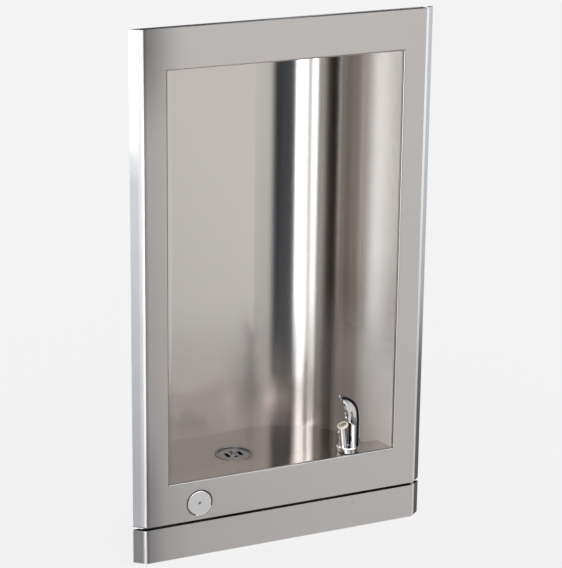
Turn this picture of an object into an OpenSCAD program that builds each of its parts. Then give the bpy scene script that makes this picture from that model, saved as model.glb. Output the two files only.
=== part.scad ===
// Recessed drinking fountain for a wall: a stainless front frame round an alcove with a basin,
// a hooded bubbler on the basin's ledge, and a push button that opens the water valve behind it.
// X = 0 is the centre line, Y = 0 the finished wall and Z = 0 the foot of the lower panel.
// The front faces -Y and the alcove goes into the wall towards +Y.

/* [Front frame] */
// Width of the flat front face
face_w = 402; // [398:1:430]
// Height of the front frame, which stands above the lower panel
frame_h = 675; // [655:1:760]
// How far the front face stands off the wall
face_depth = 12.5; // [11.5:0.5:18]
// How far each side return flares outwards on its way to the wall
flare = 15; // [12:1:24]
// Thickness of the stainless sheet
sheet_t = 1.2; // [0.9:0.1:1.5]
// Outer radius of the bends in the front
bend_r = 2.4; // [1.8:0.2:3.4]
// Width of the lips that lie on the wall
lip_w = 10; // [6:1:11]
// Width of the opening in the front face
opening_w = 336; // [310:1:340]
// Height of the opening in the front face
opening_h = 563.5; // [500:0.5:570]
// Height of the face below the opening
sill_h = 56.5; // [54:0.5:70]
// Depth of the rounded return round the opening
return_d = 5; // [4:0.5:6]

/* [Lower panel] */
// Height of the lower panel
panel_h = 48; // [44:1:60]
// Height of the shadow gap between the panel and the frame
reveal = 4; // [2:0.5:6]
// Distance between the two clips that hold the panel
clip_pitch = 300; // [290:5:320]

/* [Alcove] */
// Depth of the alcove from the front face to the back wall
alcove_depth = 184; // [160:1:210]
// Angle by which the side walls lean inwards
jamb_lean = 9.6; // [4:0.2:12]
// Radius of the broad corner behind the bubbler
broad_r = 120; // [80:1:124]
// Radius of the other back corner
small_r = 58; // [30:1:80]
// Depth of the ledge that carries the bubbler, from the front face
ledge_d = 36; // [35:0.5:42]
// Drop from the ledge to the basin floor
basin_drop = 15; // [8:0.5:17]
// Slope of the step between them
step_slope = 42; // [30:1:60]

/* [Push button] */
// Place of the button across the face
button_x = -124.7; // [-150:0.1:-110]
// Height of the button's centre above the frame's lower edge
button_rise = 24.3; // [23.4:0.1:26]
// Radius of the button
button_r = 17; // [15:0.5:19]
// Width of the gap round the button
button_gap = 2.1; // [1:0.1:3]
// How far the button stands out of the face
button_proud = 1; // [0.5:0.1:2]
// Travel of the button
button_travel = 3.5; // [2:0.1:3.8]

/* [Bubbler] */
// Place of the bubbler across the alcove
bubbler_x = 106.3; // [60:0.1:108]
// Distance of the bubbler's centre behind the front face
bubbler_back = 17.1; // [16.8:0.1:18.5]
// Radius of the collar at its foot
collar_r = 16.2; // [15:0.1:16.6]
// Height of that collar
collar_h = 8; // [6:0.5:10]
// Radius of the column that carries the hood
column_r = 8.3; // [7:0.1:8.4]
// Height of the hood's tip above the ledge
hood_h = 84; // [80:0.5:92]
// Radius of the hood's outer curve
hood_r = 36; // [32:0.5:38]
// Radius of the nozzle's column at its foot
nozzle_foot_r = 6.6; // [5.5:0.1:6.8]
// Radius of the nozzle's column at its head
nozzle_neck_r = 4.7; // [4.2:0.1:5.4]
// Height of the nozzle's head above the ledge
nozzle_h = 37; // [32:0.5:42]
// Lean of the nozzle's head towards the basin
nozzle_lean = 22; // [10:1:26]

/* [Drain] */
// Place of the drain across the basin
drain_x = -28.9; // [-60:0.1:10]
// Distance of the drain's centre behind the front face
drain_back = 104.5; // [95:0.5:115]
// Radius of the drain's flange
drain_flange_r = 27; // [25:0.5:29]
// Outer radius of the waste tailpiece
tail_r = 15.9; // [14:0.1:17]
// Length of the strainer's slots
slot_l = 15.5; // [8:0.5:18]

/* [Fixing] */
// Clear width between the studs that the brackets fit
bay_w = 368; // [366:1:372]
// How far the fixing holes stay from the frame's top and bottom edges
fixing_inset = 77.5; // [60:0.5:130]
// Distance between the fixing holes along a bracket's depth
fixing_d = 20; // [14:1:24]
// Radius of the fixing holes
fixing_r = 3.5; // [2.5:0.1:4.5]

/* [Water] */
// Outer radius of the copper tubes
tube_r = 4.76; // [3.2:0.02:5]
// Radius of the bends in the tubes, at the middle of the tube
tube_bend_r = 12; // [11:0.5:12]
// Place of the stop valve across the wall
stop_x = 40; // [20:1:60]
// Radius of the stop valve's threaded inlet
inlet_r = 9.13; // [7:0.01:9.5]

/* [Hidden] */
$fn = 64;
// One overrun serves all the cuts
over = 1;
// Radial clearances of thread fits, running fits and drilled holes
fit = 0.05;
slack = 0.3;

// Front: y of its faces, heights of its edges, half widths
face_y = -face_depth;
face_back_y = face_y + sheet_t;
half_w = face_w / 2;
wall_half_w = half_w + flare;
flare_angle = atan2(face_depth, flare);
frame_z = panel_h + reveal;
frame_top_z = frame_z + frame_h;
sill_z = frame_z + sill_h;
lintel_z = sill_z + opening_h;
half_open = opening_w / 2;
edge_r = 3;
bend_steps = 6;

// Alcove: its plan starts where the opening's return ends
plan_y = face_y + return_d;
back_y = face_y + alcove_depth;
ledge_end_y = face_y + ledge_d;
floor_z = sill_z - basin_drop;
step_r = 7;
skirt_h = 9;
basin_under_z = floor_z - sheet_t;

// Lower panel's clips and screws
clip_w = 30;
clip_t = 2;
clip_reach = 9;
standoff_r = 4;
standoff_y = -5.5;
clip_bore_r = 2;
clip_lift = 0.5;
clip_foot_z = lip_w + clip_lift;
screw_head_r = 3.4;

// Fixing brackets
bracket_t = 1.5;
bracket_flange_w = 9;
bracket_reach = 50;
bracket_margin = 24;
bracket_slack = 2.7;
bracket_x = bay_w / 2 - bracket_slack;
fixing_mid_y = 28;
fixing_mid_z = frame_z + frame_h / 2;
fixing_h = frame_h - 2 * fixing_inset;

// Button and valve: places along Y, from the button's face to the back of the cap
button_z = frame_z + button_rise;
button_face_y = face_y - button_proud;
button_t = 5;
button_back_y = button_face_y + button_t;
button_edge_r = 0.9;
hub_r = 6.5;
hub_l = 8;
hub_end_y = button_back_y + hub_l;
stem_r = 4;
stem_grip = 5.5;
nose_r = 10;
nose_out = 6;
bridge_y = 12;
bridge_t = 1.5;
bridge_h = 28;
bridge_half_w = 24;
bridge_foot_w = 10;
nose_y = bridge_y - nose_out;
locknut_t = 4.5;
locknut_af = 26;
barrel_r = 12.5;
barrel_y = bridge_y + bridge_t;
barrel_l = 46.5;
barrel_end_y = barrel_y + barrel_l;
gallery_y = barrel_y + 4.5;
gallery_r = 6;
seat_y = barrel_y + 18.5;
chamber_r = 9;
seal_r = 8;
seal_t = 3;
seal_nut_t = 3;
seal_nut_af = 8;
spindle_r = 2.5;
spindle_l = 8;
cap_plug_l = 9;
cap_head_t = 6;
cap_af = 22;
spring_wire_r = 0.7;
spring_mean_r = 8.3;
spring_turns = 5;
spring_close_share = 0.11;
grub_r = 1.5;
grub_hole_r = 1.8;
grub_sink = 1.7;
grub_l = 13;
port_r = 3.2;
boss_r = 8;
outlet_y = barrel_y + 11.5;
inlet_y = barrel_y + 32.5;
boss_drop = 20;
spigot_r = 7;
spigot_l = 8;
port_z = button_z - boss_drop;

// Tubes and their nuts
tube_wall = 0.9;
tube_nut_af = 18;
tube_nut_l = 14;
tube_seat = 6;
outlet_run_z = 30;
stop_z = 24;

// Stop valve
stop_body_r = 11;
stop_front_y = inlet_y - 12;
stop_back_y = inlet_y + 14;
stop_ball_r = 7;
stop_ball_bore_r = 3.2;
adapter_r = 8;
adapter_y = inlet_y + stop_ball_r + slack;
stop_outlet_l = 18;
stop_hex_af = 25;
stop_hex_l = 18;
inlet_depth = 14;
packing_l = 7;
packing_af = 15;
packing_r = 6;
stop_stem_r = 3.6;
stop_stem_out = 8;
stop_slot_w = 1.4;
stop_slot_d = 2.4;

// Bubbler: it faces -X, with the nozzle's column in front of the hood's
bubbler_y = face_y + bubbler_back;
gasket_t = 1;
collar_z = sill_z + gasket_t;
collar_top_z = collar_z + collar_h;
collar_edge_r = 1.3;
collar_rim_t = 3;
collar_step = 1.4;
column_out = 1;
column_x = collar_r - column_r + column_out;
hood_tip_z = sill_z + hood_h;
hood_sweep = 80;
hood_base_z = hood_tip_z - hood_r * sin(hood_sweep);
hood_foot_h = 10;
hood_foot_z = hood_base_z - hood_foot_h;
hood_lip = 19.5;
hood_rings = 20;
foot_rings = 5;
hood_sides = 44;
hood_lip_side = 14;
tip_thick_share = 0.2;
tip_width_share = 0.5;
hood_back_share = 0.5;
hood_lip_share = 0.75;
hood_groove_share = 0.55;
foot_x = -6.8;
neck_x = -9.6;
head_x = -8;
head_r = 7.8;
head_t = 4.2;
head_dish_d = 1.6;
head_rim = 1.6;
head_edge_r = 1.6;
jet_x = 2.4;
jet_r = 1.6;
jet_in = 1.9;
water_r = 2.2;
spigot_bore_r = 1.3;
spigot_in = 9;
nozzle_screw_drop = 6;
nozzle_screw_r = 1.6;
nozzle_screw_in = 2.4;
nozzle_screw_out = 3;
head_z = sill_z + nozzle_h;
shank_r = 7.9;
shank_bore_r = 3.2;
shank_grip = 4.5;
shank_gallery = 1.5;
shank_end_z = sill_z - 36;
ledge_hole_r = 8.3;
under_washer_r = 13.2;
under_washer_t = 2;
under_nut_af = 23;
under_nut_t = 7;

// Drain: the body hangs through the basin floor, clamped by a nut from below
drain_y = face_y + drain_back;
drain_flange_t = 1;
drain_barrel_r = 24.4;
drain_wall = 3;
drain_barrel_l = 36;
drain_end_z = floor_z - drain_barrel_l;
strainer_sink = 2.1;
strainer_r = 22.9;
strainer_t = 1.2;
cup_r = 4.2;
cup_d = 1.6;
strainer_gap = 0.3;
drain_lip_r = 0.6;
slot_w = 5.6;
slot_pitch = 9.7;
short_slot_l = 6;
cross_w = 8;
cross_h = 6;
cross_gap = 4;
cross_in = 0.6;
drain_screw_r = 2.4;
drain_screw_head_r = 3.6;
drain_screw_head_h = 1.4;
drain_screw_l = 11;
drain_gasket_r = 31.5;
drain_gasket_t = 3;
drain_slip_t = 1;
drain_nut_r = 30.5;
drain_nut_h = 8;
lug_count = 6;
lug_w = 7;
lug_out = 3.5;
tail_washer_t = 1.5;
tail_flange_t = 1.5;
tail_flange_r = 23;
tail_wall = 1.2;
tail_neck = 0.3;
tail_end_z = 11;
slip_nut_r = 28;
slip_nut_h = 15;
slip_nut_floor = 3;
tail_flange_z = drain_end_z - tail_washer_t - tail_flange_t;

// Points of an arc round c, from angle a to angle b
function arc(c, r, a, b, n) = [for (i = [0:n]) let (t = a + (b - a) * i / n) c + r * [cos(t), sin(t)]];
function flipped(pts) = [for (i = [len(pts) - 1:-1:0]) [-pts[i].x, pts[i].y]];
function turned(pts) = [for (i = [len(pts) - 1:-1:0]) pts[i]];

// Section of the front seen from above, o inside its outer skin, ending at y_end
function front_half(o, y_end) = concat(
  [[-wall_half_w + o / sin(flare_angle) - y_end / tan(flare_angle), y_end]],
  arc([-half_w + bend_r * tan(flare_angle / 2), face_y + bend_r],
      bend_r - o, 270 - flare_angle, 270, bend_steps));
function front_section(o, y_end) = concat(front_half(o, y_end), flipped(front_half(o, y_end)));

// A shallow tray of sheet with flared ends, open at the back inside its lips
module tray(z, h, low_lip, high_lip) {
  inside_w = 2 * (wall_half_w - lip_w);
  difference() {
    translate([0, 0, z])
      linear_extrude(h)
        polygon(front_section(0, 0));
    translate([0, 0, z + sheet_t])
      linear_extrude(h - 2 * sheet_t)
        polygon(front_section(sheet_t, -sheet_t));
    translate([-inside_w / 2, -sheet_t - over, z + low_lip])
      cube([inside_w, sheet_t + 2 * over, h - low_lip - high_lip]);
  }
}

// Half outline of the opening's mouth: how far it spreads, against depth behind the face
function mouth_edge(o, start) = concat(
  [[edge_r, start]],
  arc([edge_r, edge_r], edge_r - o, 270, 180, bend_steps * 2),
  [[o, return_d + (o == 0 ? over : 0)]]);
function mouth_side(half, o, start) = [for (p = mouth_edge(o, start)) [half + p.x, face_y + p.y]];
function mouth_section(half, o, start) = concat(
  mouth_side(half, o, start), flipped(mouth_side(half, o, start)));

// The opening's mouth, with its rounded edges mitred in the corners
module mouth(o, start) {
  mid_z = (sill_z + lintel_z) / 2;
  run = opening_w + opening_h;
  intersection() {
    translate([0, 0, mid_z - run / 2])
      linear_extrude(run)
        polygon(mouth_section(half_open, o, start));
    translate([-run / 2, 0, mid_z])
      rotate([0, 90, 0])
        linear_extrude(run)
          polygon(mouth_section(opening_h / 2, o, start));
  }
}

// Between the frame and the panel the returns stop short of the wall, to let the clips by
module clip_way(z) {
  way_w = 2 * (wall_half_w - lip_w);
  translate([-way_w / 2, -clip_t - slack, z - over])
    cube([way_w, clip_t + slack + over, sheet_t + 2 * over]);
}

module front_frame() {
  color("silver")
    difference() {
      union() {
        difference() {
          tray(frame_z, frame_h, sheet_t, lip_w);
          translate([-half_open - edge_r, face_y - over, sill_z - edge_r])
            cube([opening_w + 2 * edge_r, sheet_t + 2 * over, opening_h + 2 * edge_r]);
        }
        mouth(sheet_t, 0);
      }
      mouth(0, -over);
      clip_way(frame_z);
      translate([button_x, face_y - over, button_z])
        rotate([-90, 0, 0])
          cylinder(h = sheet_t + 2 * over, r = button_r + button_gap);
    }
}

module lower_panel() {
  color("silver")
    difference() {
      tray(0, panel_h, lip_w, sheet_t);
      clip_way(panel_h - sheet_t);
      at_clips() countersink(fit);
    }
}

module at_clips() {
  for (side = [-1, 1])
    translate([side * clip_pitch / 2, standoff_y, 0])
      children();
}

// Cone of the screw's head, through the panel's bottom sheet
module countersink(gap) {
  cylinder(h = sheet_t, r1 = screw_head_r + gap, r2 = screw_head_r - sheet_t + gap);
}

// A clip hooks over the frame's lower return and carries the panel on a tapped standoff
module panel_clips() {
  top_z = frame_z + sheet_t;
  color("gainsboro")
    at_clips() {
      difference() {
        union() {
          translate([-clip_w / 2, -standoff_y - clip_t, clip_foot_z])
            cube([clip_w, clip_t, top_z + clip_t - clip_foot_z]);
          translate([-clip_w / 2, -standoff_y - clip_reach, top_z])
            cube([clip_w, clip_reach, clip_t]);
          translate([-clip_w / 2, -standoff_y - clip_reach, clip_foot_z])
            cube([clip_w, clip_reach, clip_t]);
          translate([0, 0, sheet_t])
            cylinder(h = clip_foot_z - sheet_t, r = standoff_r);
        }
        cylinder(h = clip_foot_z + clip_t + over, r = clip_bore_r);
      }
    }
}

module panel_screws() {
  color("gray")
    at_clips() {
      countersink(0);
      cylinder(h = clip_foot_z + clip_t, r = clip_bore_r - fit);
    }
}

// Alcove plan: the side walls lean in, tangent to the two back corners
function jamb_x(o, y) = half_open + o / cos(jamb_lean) - tan(jamb_lean) * (y - plan_y);
function corner_y(r) = back_y - r;
function corner_x(r) = jamb_x(0, corner_y(r)) - r / cos(jamb_lean);
function tangent(r, o) = [
  corner_x(r) + (r + o) * cos(jamb_lean), corner_y(r) + (r + o) * sin(jamb_lean)];

module corner(r, o) {
  intersection() {
    translate([corner_x(r), corner_y(r)])
      circle(r = r + o, $fn = 128);
    translate([corner_x(r), corner_y(r)])
      square(r + o + over);
  }
}

// Outline of the alcove from above, grown by o and drawn forward by ahead
module plan(o, ahead) {
  near = plan_y - ahead;
  broad = tangent(broad_r, o);
  small = tangent(small_r, o);
  union() {
    polygon([
      [jamb_x(o, near), near], broad, [corner_x(broad_r), back_y + o],
      [-corner_x(small_r), back_y + o], [-small.x, small.y], [-jamb_x(o, near), near]]);
    corner(broad_r, o);
    mirror([1, 0]) corner(small_r, o);
  }
}

// Basin's top line from the side: the ledge, a bend down, the slope, a bend level, the floor
step_run = basin_drop / tan(step_slope) + step_r * tan(step_slope / 2);
function step_line(o) = concat(
  arc([ledge_end_y, sill_z - step_r], step_r + o, 90, 90 - step_slope, bend_steps),
  arc([ledge_end_y + step_run + step_r * tan(step_slope / 2), floor_z + step_r],
      step_r - o, 270 - step_slope, 270, bend_steps));
function basin_line(o) = concat(
  [[plan_y - over, sill_z + o]], step_line(o), [[back_y + over + sheet_t, floor_z + o]]);

module across(pts) {
  rotate([90, 0, 90])
    translate([0, 0, -wall_half_w])
      linear_extrude(2 * wall_half_w)
        polygon(pts);
}

module under_basin(o, depth) {
  across(concat(basin_line(o), [
    [back_y + over + sheet_t, floor_z - depth], [plan_y - over, floor_z - depth]]));
}

module alcove_wall() {
  color("lightgray")
    difference() {
      translate([0, 0, floor_z - over])
        linear_extrude(lintel_z - floor_z + over)
          plan(sheet_t, 0);
      translate([0, 0, floor_z - 2 * over])
        linear_extrude(lintel_z - floor_z + 3 * over)
          plan(0, over);
      under_basin(0, 3 * over);
    }
}

module alcove_ceiling() {
  color("lightgray")
    translate([0, 0, lintel_z])
      linear_extrude(sheet_t)
        plan(sheet_t, 0);
}

// One pressed pan: ledge, step and floor, with a skirt that stiffens its edge
module basin() {
  skirt_z = floor_z - sheet_t - skirt_h;
  color("lightgray")
    difference() {
      union() {
        intersection() {
          difference() {
            under_basin(0, sheet_t + over);
            under_basin(-sheet_t, sheet_t + 2 * over);
          }
          translate([0, 0, skirt_z])
            linear_extrude(sill_z - skirt_z + over)
              plan(sheet_t, 0);
        }
        intersection() {
          translate([0, 0, skirt_z])
            linear_extrude(sill_z - skirt_z)
              difference() {
                plan(sheet_t, 0);
                plan(0, over);
              }
          under_basin(-sheet_t / 2, sheet_t + skirt_h + over);
        }
      }
      translate([bubbler_x, bubbler_y, sill_z - sheet_t - over])
        cylinder(h = sheet_t + 2 * over, r = ledge_hole_r);
      translate([drain_x, drain_y, floor_z - sheet_t - over])
        cylinder(h = sheet_t + 2 * over, r = drain_barrel_r + slack);
    }
}

// Angle on the back of the face: its web lies on the stud and takes the fixing screws
module bracket(side) {
  low = sill_z - edge_r - bracket_margin / 2;
  high = frame_top_z - bracket_margin;
  color("gainsboro")
    difference() {
      union() {
        translate([side > 0 ? bracket_x - bracket_flange_w : -bracket_x, face_back_y, low])
          cube([bracket_flange_w, bracket_t, high - low]);
        translate([side > 0 ? bracket_x - bracket_t : -bracket_x, face_back_y, low])
          cube([bracket_t, bracket_reach - face_back_y, high - low]);
      }
      for (j = [-1, 1], k = [-1, 1])
        translate([side * bracket_x - bracket_t - over, fixing_mid_y + j * fixing_d / 2,
                   fixing_mid_z + k * fixing_h / 2])
          rotate([0, 90, 0])
            cylinder(h = 2 * bracket_t + 2 * over, r = fixing_r);
    }
}

module left_bracket() {
  bracket(-1);
}

module right_bracket() {
  bracket(1);
}

// Puts a shape drawn along +Z on the button's axis, from the front towards the back
module on_button_axis(y) {
  translate([button_x, y, button_z])
    rotate([-90, 0, 0])
      children();
}

module hex(af, h) {
  cylinder(h = h, d = af / cos(30), $fn = 6);
}

// A disc with a rounded front edge
module rounded_disc(r, h, edge) {
  rotate_extrude()
    polygon(concat([[0, h], [0, 0]], arc([r - edge, edge], edge, 270, 360, bend_steps), [[r, h]]));
}

module push_button() {
  color("whitesmoke")
    difference() {
      union() {
        on_button_axis(button_face_y) rounded_disc(button_r, button_t, button_edge_r);
        on_button_axis(button_back_y - over) cylinder(h = hub_l + over, r = hub_r);
      }
      on_button_axis(button_face_y - over)
        cylinder(h = button_t + hub_l + 2 * over, r = grub_hole_r);
      on_button_axis(hub_end_y - stem_grip)
        cylinder(h = stem_grip + over, r = stem_r + fit / 2);
    }
}

module button_screw() {
  color("dimgray")
    on_button_axis(button_face_y + grub_sink)
      difference() {
        cylinder(h = grub_l, r = grub_r);
        translate([0, 0, -over])
          cylinder(h = over + grub_r, r = grub_r / 2, $fn = 6);
      }
}

module valve_stem() {
  stem_y = hub_end_y - stem_grip;
  color("goldenrod")
    difference() {
      union() {
        on_button_axis(stem_y) cylinder(h = seat_y - stem_y, r = stem_r);
        on_button_axis(seat_y - over) cylinder(h = spindle_l + over, r = spindle_r);
      }
      on_button_axis(stem_y - over) cylinder(h = grub_l - stem_grip + over, r = grub_r + fit / 2);
    }
}

// The seal rests on the seat inside the valve, and the button lifts it off
module valve_seal() {
  color("black")
    on_button_axis(seat_y)
      difference() {
        cylinder(h = seal_t, r = seal_r);
        translate([0, 0, -over])
          cylinder(h = seal_t + 2 * over, r = spindle_r + fit);
      }
}

module seal_nut() {
  color("goldenrod")
    on_button_axis(seat_y + seal_t)
      difference() {
        hex(seal_nut_af, seal_nut_t);
        translate([0, 0, -over])
          cylinder(h = seal_nut_t + 2 * over, r = spindle_r + fit);
      }
}

// Return spring: one unbroken wire whose first and last turns lie closer together
spring_l = nose_y - button_back_y;
spring_rings = 12 * spring_turns;
spring_sides = 6;
function spring_rise(u) = spring_wire_r + (spring_l - 2 * spring_wire_r) * (u - spring_close_share * sin(360 * u));
function spring_point(i, j) = let (
  u = i / spring_rings,
  t = 360 * spring_turns * u,
  a = 360 * j / spring_sides,
  r = spring_mean_r + spring_wire_r * cos(a))
  [r * cos(t), r * sin(t), spring_rise(u) + spring_wire_r * sin(a)];

// Skin of a tube of rings: the sides between them and a flat cap at each end
function skin_faces(rings, sides) = concat(
  [for (i = [0:rings - 1], j = [0:sides - 1]) let (k = (j + 1) % sides)
    [i * sides + j, i * sides + k, (i + 1) * sides + k]],
  [for (i = [0:rings - 1], j = [0:sides - 1]) let (k = (j + 1) % sides)
    [i * sides + j, (i + 1) * sides + k, (i + 1) * sides + j]],
  [[for (j = [sides - 1:-1:0]) j]],
  [[for (j = [0:sides - 1]) rings * sides + j]]);

module button_spring() {
  points = [for (i = [0:spring_rings], j = [0:spring_sides - 1]) spring_point(i, j)];
  color("lightsteelblue")
    on_button_axis(button_back_y)
      polyhedron(points, skin_faces(spring_rings, spring_sides), convexity = 8);
}

// Hat-shaped bridge welded behind the face, which holds the valve by its nose
module valve_bracket() {
  outer = bridge_half_w + bridge_t;
  half = [
    [-outer - bridge_foot_w, face_back_y], [-bridge_half_w, face_back_y],
    [-bridge_half_w, bridge_y], [0, bridge_y], [0, bridge_y + bridge_t],
    [-outer, bridge_y + bridge_t], [-outer, face_back_y + bridge_t],
    [-outer - bridge_foot_w, face_back_y + bridge_t]];
  color("gainsboro")
    difference() {
      translate([button_x, 0, button_z - bridge_h / 2])
        linear_extrude(bridge_h)
          for (side = [0, 1])
            mirror([side, 0]) polygon(half);
      on_button_axis(bridge_y - over) cylinder(h = bridge_t + 2 * over, r = nose_r + slack);
    }
}

// Port that points down: a boss, a threaded spigot and its bore
module port_boss() {
  translate([0, 0, -boss_drop]) cylinder(h = boss_drop, r = boss_r);
  translate([0, 0, -boss_drop - spigot_l]) cylinder(h = spigot_l + over, r = spigot_r);
}

module port_bore() {
  translate([0, 0, -boss_drop - spigot_l - over])
    cylinder(h = boss_drop + spigot_l + over, r = port_r);
  translate([0, 0, -boss_drop - spigot_l - over])
    cylinder(h = tube_seat + over, r = tube_r + fit);
}

module valve_body() {
  color("darkgoldenrod")
    difference() {
      union() {
        on_button_axis(nose_y) cylinder(h = nose_out + bridge_t + over, r = nose_r);
        on_button_axis(barrel_y) cylinder(h = barrel_l, r = barrel_r);
        translate([button_x, outlet_y, button_z]) port_boss();
        translate([button_x, inlet_y, button_z]) port_boss();
      }
      on_button_axis(nose_y - over) cylinder(h = barrel_l, r = stem_r + fit);
      on_button_axis(gallery_y) cylinder(h = seat_y - gallery_y + over, r = gallery_r);
      on_button_axis(seat_y) cylinder(h = barrel_end_y - seat_y + over, r = chamber_r);
      translate([button_x, outlet_y, button_z]) port_bore();
      translate([button_x, inlet_y, button_z]) port_bore();
    }
}

module valve_locknut() {
  color("goldenrod")
    on_button_axis(bridge_y - locknut_t)
      difference() {
        hex(locknut_af, locknut_t);
        translate([0, 0, -over])
          cylinder(h = locknut_t + 2 * over, r = nose_r + fit);
      }
}

module valve_cap() {
  color("goldenrod") {
    on_button_axis(barrel_end_y - cap_plug_l) cylinder(h = cap_plug_l + over, r = chamber_r - fit);
    on_button_axis(barrel_end_y) hex(cap_af, cap_head_t);
  }
}

// Straight length of tube, from one point along a unit direction
module straight_tube(from, dir_angles, l) {
  translate(from)
    rotate(dir_angles)
      difference() {
        cylinder(h = l, r = tube_r);
        translate([0, 0, -over])
          cylinder(h = l + 2 * over, r = tube_r - tube_wall);
      }
}

// Quarter bend in the XZ plane: it comes down from above and leaves along +X
module quarter_bend() {
  rotate([90, 0, 0])
    rotate([0, 0, 180])
      rotate_extrude(angle = 90)
        translate([tube_bend_r, 0])
          difference() {
            circle(r = tube_r);
            circle(r = tube_r - tube_wall);
          }
}

tube_top_z = port_z - spigot_l + tube_seat;

// From the stop valve's outlet along the wall, then up into the push valve
module inlet_tube() {
  bend_x = button_x + tube_bend_r;
  stop_end_x = stop_x - stop_outlet_l - spigot_l + tube_seat;
  color("peru") {
    straight_tube([button_x, inlet_y, stop_z + tube_bend_r], [0, 0, 0],
                  tube_top_z - stop_z - tube_bend_r);
    translate([bend_x, inlet_y, stop_z + tube_bend_r]) quarter_bend();
    straight_tube([bend_x, inlet_y, stop_z], [0, 90, 0], stop_end_x - bend_x);
  }
}

// Down from the push valve, across below the basin, and up into the bubbler's shank
module outlet_tube() {
  span = [bubbler_x - button_x, bubbler_y - outlet_y];
  length = norm(span);
  shank_top_z = shank_end_z + tube_seat;
  color("peru")
    translate([button_x, outlet_y, 0])
      rotate([0, 0, atan2(span.y, span.x)]) {
        straight_tube([0, 0, outlet_run_z + tube_bend_r], [0, 0, 0],
                      tube_top_z - outlet_run_z - tube_bend_r);
        translate([tube_bend_r, 0, outlet_run_z + tube_bend_r]) quarter_bend();
        straight_tube([tube_bend_r, 0, outlet_run_z], [0, 90, 0], length - 2 * tube_bend_r);
        translate([length - tube_bend_r, 0, outlet_run_z + tube_bend_r])
          mirror([1, 0, 0]) quarter_bend();
        straight_tube([length, 0, outlet_run_z + tube_bend_r], [0, 0, 0],
                      shank_top_z - outlet_run_z - tube_bend_r);
      }
}

// Compression nut drawn from its closed end: the tube's hole, then the thread's
module tube_nut(thread_r) {
  difference() {
    hex(tube_nut_af + 2 * (thread_r - spigot_r), tube_nut_l);
    translate([0, 0, -over])
      cylinder(h = tube_nut_l + 2 * over, r = tube_r + fit);
    translate([0, 0, tube_nut_l - spigot_l])
      cylinder(h = spigot_l + over, r = thread_r + fit);
  }
}

module tube_nuts() {
  nut_z = port_z - tube_nut_l;
  color("goldenrod") {
    for (y = [outlet_y, inlet_y])
      translate([button_x, y, nut_z]) tube_nut(spigot_r);
    translate([stop_x - stop_outlet_l - tube_nut_l, inlet_y, stop_z])
      rotate([0, 90, 0]) tube_nut(spigot_r);
    translate([bubbler_x, bubbler_y, shank_end_z + spigot_l - tube_nut_l]) tube_nut(shank_r);
  }
}

// Angle stop: the ball goes in from the back, and its outlet points to the left
module stop_body() {
  centre = [stop_x, inlet_y, stop_z];
  color("darkgoldenrod")
    difference() {
      union() {
        translate([stop_x, stop_front_y, stop_z])
          rotate([-90, 0, 0]) cylinder(h = stop_back_y - stop_front_y, r = stop_body_r);
        translate([stop_x - stop_outlet_l, inlet_y, stop_z])
          rotate([0, 90, 0]) cylinder(h = stop_outlet_l, r = boss_r);
        translate([stop_x - stop_outlet_l - spigot_l, inlet_y, stop_z])
          rotate([0, 90, 0]) cylinder(h = spigot_l + over, r = spigot_r);
        translate([stop_x, stop_front_y - packing_l + over, stop_z])
          rotate([-90, 0, 0]) cylinder(h = packing_l, r = packing_r);
      }
      translate(centre) sphere(r = stop_ball_r + fit);
      translate(centre) rotate([-90, 0, 0])
        cylinder(h = stop_back_y + over - inlet_y, r = stop_ball_r + fit);
      translate([stop_x, adapter_y, stop_z]) rotate([-90, 0, 0])
        cylinder(h = stop_back_y + over - adapter_y, r = adapter_r + fit);
      translate([stop_x - stop_outlet_l - spigot_l - over, inlet_y, stop_z])
        rotate([0, 90, 0]) cylinder(h = stop_outlet_l + spigot_l + over, r = port_r);
      translate([stop_x - stop_outlet_l - spigot_l - over, inlet_y, stop_z])
        rotate([0, 90, 0]) cylinder(h = tube_seat + over, r = tube_r + fit);
      translate([stop_x, stop_front_y - packing_l, stop_z])
        rotate([-90, 0, 0]) cylinder(h = inlet_y - stop_front_y + packing_l, r = stop_stem_r + fit);
    }
}

// Screws in behind the ball, with a hex and the thread for the supply pipe
module stop_adapter() {
  hex_end_y = stop_back_y + stop_hex_l;
  color("goldenrod")
    translate([stop_x, 0, stop_z])
      rotate([-90, 0, 0])
        difference() {
          union() {
            translate([0, 0, adapter_y])
              cylinder(h = stop_back_y - adapter_y, r = adapter_r);
            translate([0, 0, stop_back_y]) hex(stop_hex_af, stop_hex_l);
          }
          translate([0, 0, adapter_y - over])
            cylinder(h = hex_end_y - adapter_y, r = port_r);
          translate([0, 0, hex_end_y - inlet_depth])
            cylinder(h = inlet_depth + over, r = inlet_r);
        }
}

// Ball and stem in one, bored from the outlet to the inlet, with a driver slot in front
module stop_stem() {
  tip_y = stop_front_y - packing_l - stop_stem_out;
  color("silver")
    difference() {
      union() {
        translate([stop_x, inlet_y, stop_z]) sphere(r = stop_ball_r);
        translate([stop_x, tip_y, stop_z])
          rotate([-90, 0, 0]) cylinder(h = inlet_y - tip_y, r = stop_stem_r);
      }
      translate([stop_x, inlet_y, stop_z])
        rotate([-90, 0, 0]) cylinder(h = stop_ball_r + over, r = stop_ball_bore_r);
      translate([stop_x, inlet_y, stop_z])
        rotate([0, -90, 0]) cylinder(h = stop_ball_r + over, r = stop_ball_bore_r);
      translate([stop_x - stop_stem_r - over, tip_y - over, stop_z - stop_slot_w / 2])
        cube([2 * (stop_stem_r + over), stop_slot_d + over, stop_slot_w]);
    }
}

module stop_packing_nut() {
  color("goldenrod")
    translate([stop_x, stop_front_y - packing_l - sheet_t, stop_z])
      rotate([-90, 0, 0])
        difference() {
          hex(packing_af, packing_l);
          translate([0, 0, -over])
            cylinder(h = packing_l + 2 * over, r = stop_stem_r + fit);
          translate([0, 0, sheet_t])
            cylinder(h = packing_l, r = packing_r + fit);
        }
}

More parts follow.
